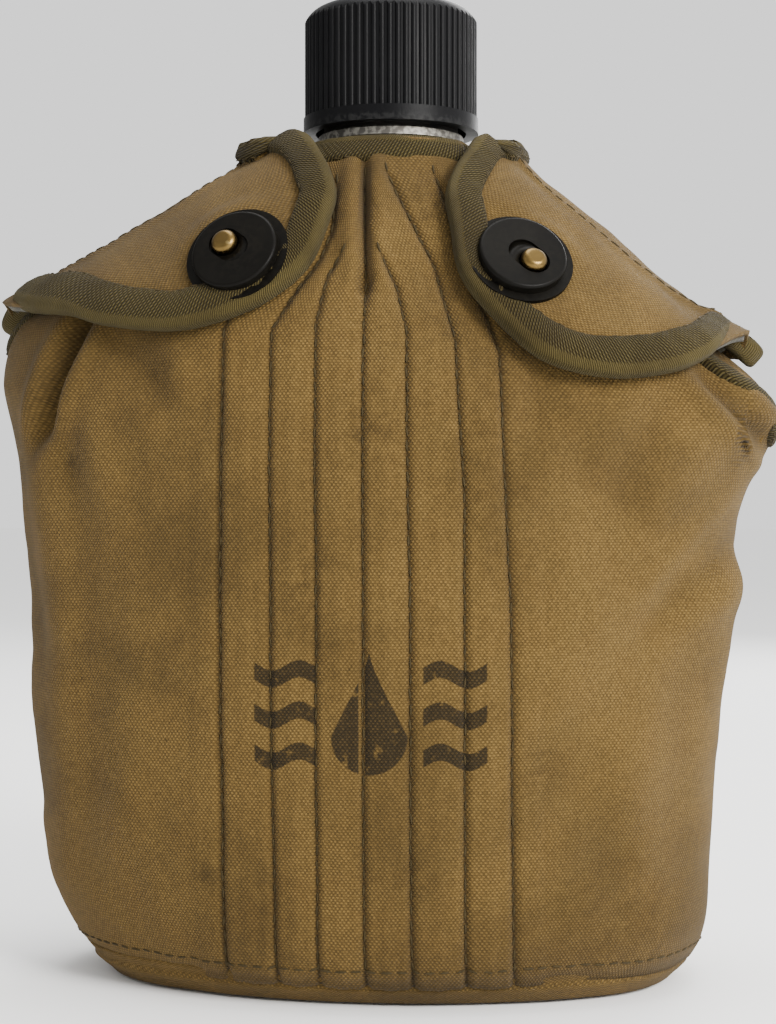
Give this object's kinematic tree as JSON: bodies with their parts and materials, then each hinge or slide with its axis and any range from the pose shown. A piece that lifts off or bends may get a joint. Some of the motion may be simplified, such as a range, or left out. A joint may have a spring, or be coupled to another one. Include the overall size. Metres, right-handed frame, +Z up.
{
  "type": "canteen",
  "caption": "Kidney-shaped metal flask with a ribbed black screw cap, in a khaki canvas cover with snap-down shoulder flaps and a wire belt hook behind.",
  "frame": {"origin": "on the surface it stands on, under the axis of the neck and cap", "axes": "+Z up along the neck, -Y towards the front panel, +X to the right seen from the front"},
  "size_m": [0.1638, 0.0952, 0.2118],
  "materials": {
    "wool_felt": "felted wool, matte",
    "canvas": "heavy cotton duck, worn and dusty",
    "binding_tape": "ribbed cotton tape, matte",
    "webbing": "woven cotton webbing, matte",
    "bottle_metal": "dull drawn stainless steel",
    "cap_plastic": "moulded black phenolic, satin",
    "gasket_rubber": "matte",
    "brass": "aged brass",
    "blackened_brass": "black enamel over brass, worn satin",
    "spring_steel": "bright wire",
    "hook_wire": "dark oxidised wire"
  },
  "bodies": {
    "canteen": {"bottle_lower_shell": "bottle_metal", "bottle_upper_shell": "bottle_metal", "bottle_neck": "bottle_metal", "chain_lug": "bottle_metal", "felt_front": "wool_felt", "felt_back": "wool_felt", "felt_bottom": "wool_felt", "canvas_front": "canvas", "canvas_back": "canvas", "canvas_bottom": "canvas", "collar_binding": "binding_tape", "armhole_binding_left": "binding_tape", "armhole_binding_right": "binding_tape", "back_neck_binding": "binding_tape", "stud_left": "brass", "stud_right": "brass", "stud_washer_left": "brass", "stud_washer_right": "brass", "hanger_webbing": "webbing"},
    "gasket": {"cap_gasket": "gasket_rubber"},
    "cap": {"cap_shell": "cap_plastic"},
    "flap_left": {"flap_canvas_left": "canvas", "flap_felt_left": "wool_felt", "flap_binding_left": "binding_tape", "socket_ring_left": "blackened_brass", "socket_disc_left": "blackened_brass", "socket_spring_left": "spring_steel", "socket_clinch_left": "blackened_brass"},
    "flap_right": {"flap_canvas_right": "canvas", "flap_felt_right": "wool_felt", "flap_binding_right": "binding_tape", "socket_ring_right": "blackened_brass", "socket_disc_right": "blackened_brass", "socket_spring_right": "spring_steel", "socket_clinch_right": "blackened_brass"},
    "hook": {"belt_hook": "hook_wire"}
  },
  "joints": [
    {"name": "cap_lift", "type": "slide", "parent": "canteen", "child": "gasket", "axis": [0, 0, 1], "range_m": [0, 0.03]},
    {"name": "cap_turn", "type": "hinge", "parent": "gasket", "child": "cap", "pos_m": [0, 0, 0.19], "axis": [0, 0, 1], "range_deg": [0, 2160]},
    {"name": "flap_left_open", "type": "hinge", "parent": "canteen", "child": "flap_left", "pos_m": [-0.08482, -0.007, 0.14676], "axis": [-0.8555, 0, -0.5178], "range_deg": [0, 150]},
    {"name": "flap_right_open", "type": "hinge", "parent": "canteen", "child": "flap_right", "pos_m": [0.06682, -0.007, 0.14676], "axis": [-0.7645, 0, 0.6446], "range_deg": [0, 150]},
    {"name": "hook_swing", "type": "hinge", "parent": "canteen", "child": "hook", "pos_m": [0, 0.03636, 0.143], "axis": [1, 0, 0], "range_deg": [0, 150]}
  ],
  "couplings": [
    {"joint": "cap_turn", "follows": "cap_lift", "rad_per_m": 1256.6}
  ]
}
